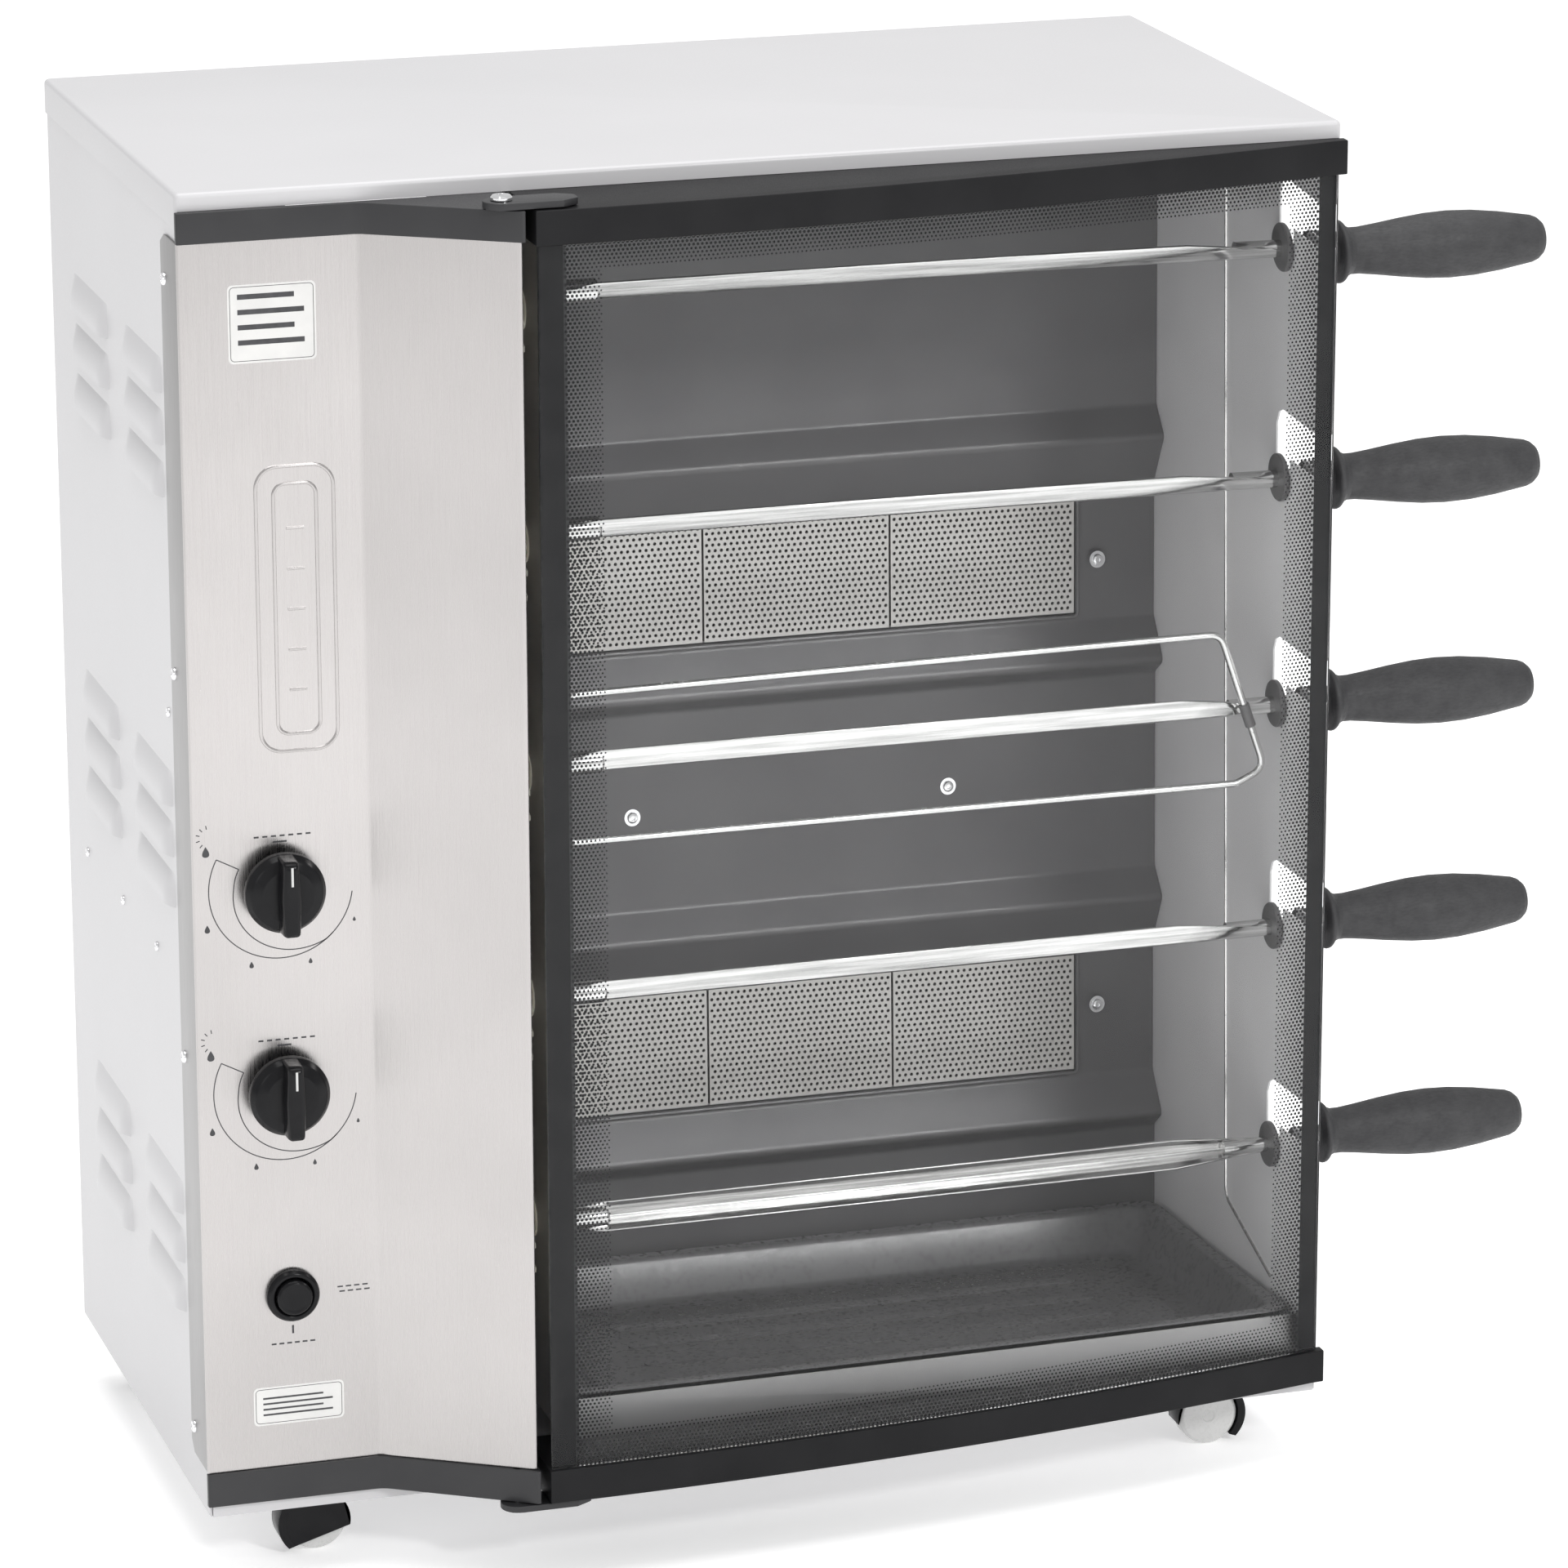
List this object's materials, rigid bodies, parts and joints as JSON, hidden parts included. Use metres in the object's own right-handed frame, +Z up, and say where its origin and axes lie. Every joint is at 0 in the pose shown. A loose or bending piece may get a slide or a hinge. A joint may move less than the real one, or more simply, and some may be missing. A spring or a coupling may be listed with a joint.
{
  "type": "rotisserie oven",
  "caption": "Countertop gas rotisserie oven: white casing, folded stainless control panel, curved glass door, stacked motorised spits with black handles, infrared burners and casters.",
  "frame": {"origin": "centre of the footprint of the whole object, handles and gas inlet included, on the surface it stands on", "axes": "+X to the right along the front towards the spit handles, +Y from the glass door to the rear panel, +Z up"},
  "size_m": [0.7538, 0.388, 0.736],
  "materials": {
    "white_paint": "white powder coat, semi-gloss",
    "stainless": "vertically brushed stainless sheet",
    "spit_steel": "bright stainless bar and wire",
    "liner": "bright-rolled liner sheet",
    "dark_steel": "dark grey heat-resistant enamel",
    "black_trim": "black moulded trim, fine satin",
    "gloss_black": "glossy black moulding",
    "handle_black": "charcoal textured moulding",
    "ceramic": "perforated infrared burner tile",
    "brass": "plain machined brass and tube",
    "nylon": "natural nylon gear",
    "glass": "clear tempered glass with printed black border",
    "chrome": "chromed screw",
    "caster_white": "white moulded wheel"
  },
  "bodies": {
    "casing": {"top_cover": "white_paint", "left_side_panel": "white_paint", "right_side_panel": "white_paint", "rear_panel": "white_paint", "base_pan": "white_paint", "front_panel": "stainless", "panel_trim_top": "black_trim", "panel_trim_bottom": "black_trim", "hinge_pin_top": "chrome", "hinge_pin_bottom": "chrome", "drive_wall": "liner", "right_inner_wall": "liner", "cavity_roof": "dark_steel", "rear_reflector": "dark_steel", "drip_tray": "dark_steel", "burner_body_upper": "liner", "burner_body_lower": "liner", "burner_tiles_upper": "ceramic", "burner_tiles_lower": "ceramic", "gas_valve_upper": "brass", "gas_valve_lower": "brass", "gas_feed_upper": "brass", "gas_feed_lower": "brass", "gas_manifold": "brass", "switch_body": "gloss_black", "cord_gland": "black_trim", "gear_motor": "dark_steel"},
    "door": {"door_glass": "glass", "door_cap_top": "black_trim", "door_cap_bottom": "black_trim"},
    "spit_1": {"spit_gear_1": "nylon", "spit_blade_1": "spit_steel", "spit_handle_1": "handle_black"},
    "spit_2": {"spit_gear_2": "nylon", "spit_blade_2": "spit_steel", "spit_handle_2": "handle_black"},
    "spit_3": {"spit_gear_3": "nylon", "spit_blade_3": "spit_steel", "spit_handle_3": "handle_black", "wire_basket": "spit_steel"},
    "spit_4": {"spit_gear_4": "nylon", "spit_blade_4": "spit_steel", "spit_handle_4": "handle_black"},
    "spit_5": {"spit_gear_5": "nylon", "spit_blade_5": "spit_steel", "spit_handle_5": "handle_black"},
    "pinion": {"motor_pinion": "nylon"},
    "stem_upper": {"valve_stem_upper": "brass"},
    "dial_upper": {"knob_upper": "gloss_black"},
    "stem_lower": {"valve_stem_lower": "brass"},
    "dial_lower": {"knob_lower": "gloss_black"},
    "button": {"switch_button": "gloss_black"},
    "caster_front_left": {"caster_hood_front_left": "gloss_black"},
    "wheel_front_left": {"caster_wheel_front_left": "caster_white"},
    "caster_front_right": {"caster_hood_front_right": "gloss_black"},
    "wheel_front_right": {"caster_wheel_front_right": "caster_white"},
    "caster_rear_left": {"caster_hood_rear_left": "gloss_black"},
    "wheel_rear_left": {"caster_wheel_rear_left": "caster_white"},
    "caster_rear_right": {"caster_hood_rear_right": "gloss_black"},
    "wheel_rear_right": {"caster_wheel_rear_right": "caster_white"}
  },
  "joints": [
    {"name": "door_swing", "type": "hinge", "parent": "casing", "child": "door", "pos_m": [-0.21815, -0.182, 0.4], "axis": [0, 0, -1], "range_deg": [0, 115]},
    {"name": "spit_turn_1", "type": "hinge", "parent": "casing", "child": "spit_1", "pos_m": [0.02585, -0.092, 0.6555], "axis": [1, 0, 0], "continuous": true},
    {"name": "spit_turn_2", "type": "hinge", "parent": "casing", "child": "spit_2", "pos_m": [0.02585, -0.092, 0.533], "axis": [1, 0, 0], "continuous": true},
    {"name": "spit_turn_3", "type": "hinge", "parent": "casing", "child": "spit_3", "pos_m": [0.02585, -0.092, 0.4105], "axis": [1, 0, 0], "continuous": true},
    {"name": "spit_turn_4", "type": "hinge", "parent": "casing", "child": "spit_4", "pos_m": [0.02585, -0.092, 0.288], "axis": [1, 0, 0], "continuous": true},
    {"name": "spit_turn_5", "type": "hinge", "parent": "casing", "child": "spit_5", "pos_m": [0.02585, -0.092, 0.1655], "axis": [1, 0, 0], "continuous": true},
    {"name": "pinion_turn", "type": "hinge", "parent": "casing", "child": "pinion", "pos_m": [-0.20915, -0.01033, 0.4105], "axis": [1, 0, 0], "continuous": true},
    {"name": "valve_press_upper", "type": "slide", "parent": "casing", "child": "stem_upper", "axis": [0, 1, 0], "range_m": [0, 0.004], "stiffness_N_per_m": 900, "springref_m": -0.001},
    {"name": "knob_turn_upper", "type": "hinge", "parent": "stem_upper", "child": "dial_upper", "pos_m": [-0.32865, -0.157, 0.3753], "axis": [0, -1, 0], "range_deg": [0, 240]},
    {"name": "valve_press_lower", "type": "slide", "parent": "casing", "child": "stem_lower", "axis": [0, 1, 0], "range_m": [0, 0.004], "stiffness_N_per_m": 900, "springref_m": -0.001},
    {"name": "knob_turn_lower", "type": "hinge", "parent": "stem_lower", "child": "dial_lower", "pos_m": [-0.32865, -0.157, 0.2667], "axis": [0, -1, 0], "range_deg": [0, 240]},
    {"name": "switch_press", "type": "slide", "parent": "casing", "child": "button", "axis": [0, 1, 0], "range_m": [0, 0.003], "stiffness_N_per_m": 500, "springref_m": -0.001},
    {"name": "caster_swivel_front_left", "type": "hinge", "parent": "casing", "child": "caster_front_left", "pos_m": [-0.30215, -0.108, 0.036], "axis": [0, 0, 1], "continuous": true},
    {"name": "wheel_roll_front_left", "type": "hinge", "parent": "caster_front_left", "child": "wheel_front_left", "pos_m": [-0.31015, -0.108, 0.0164], "axis": [0, 1, 0], "continuous": true},
    {"name": "caster_swivel_front_right", "type": "hinge", "parent": "casing", "child": "caster_front_right", "pos_m": [0.18185, -0.108, 0.036], "axis": [0, 0, 1], "continuous": true},
    {"name": "wheel_roll_front_right", "type": "hinge", "parent": "caster_front_right", "child": "wheel_front_right", "pos_m": [0.18985, -0.108, 0.0164], "axis": [0, 1, 0], "continuous": true},
    {"name": "caster_swivel_rear_left", "type": "hinge", "parent": "casing", "child": "caster_rear_left", "pos_m": [-0.32815, 0.15, 0.036], "axis": [0, 0, 1], "continuous": true},
    {"name": "wheel_roll_rear_left", "type": "hinge", "parent": "caster_rear_left", "child": "wheel_rear_left", "pos_m": [-0.33615, 0.15, 0.0164], "axis": [0, 1, 0], "continuous": true},
    {"name": "caster_swivel_rear_right", "type": "hinge", "parent": "casing", "child": "caster_rear_right", "pos_m": [0.18585, 0.138, 0.036], "axis": [0, 0, 1], "continuous": true},
    {"name": "wheel_roll_rear_right", "type": "hinge", "parent": "caster_rear_right", "child": "wheel_rear_right", "pos_m": [0.19385, 0.138, 0.0164], "axis": [0, 1, 0], "continuous": true}
  ],
  "couplings": [
    {"joint": "spit_turn_1", "follows": "spit_turn_3", "ratio": 1},
    {"joint": "spit_turn_2", "follows": "spit_turn_3", "ratio": -1},
    {"joint": "spit_turn_4", "follows": "spit_turn_3", "ratio": -1},
    {"joint": "spit_turn_5", "follows": "spit_turn_3", "ratio": 1},
    {"joint": "pinion_turn", "follows": "spit_turn_3", "ratio": -3}
  ]
}
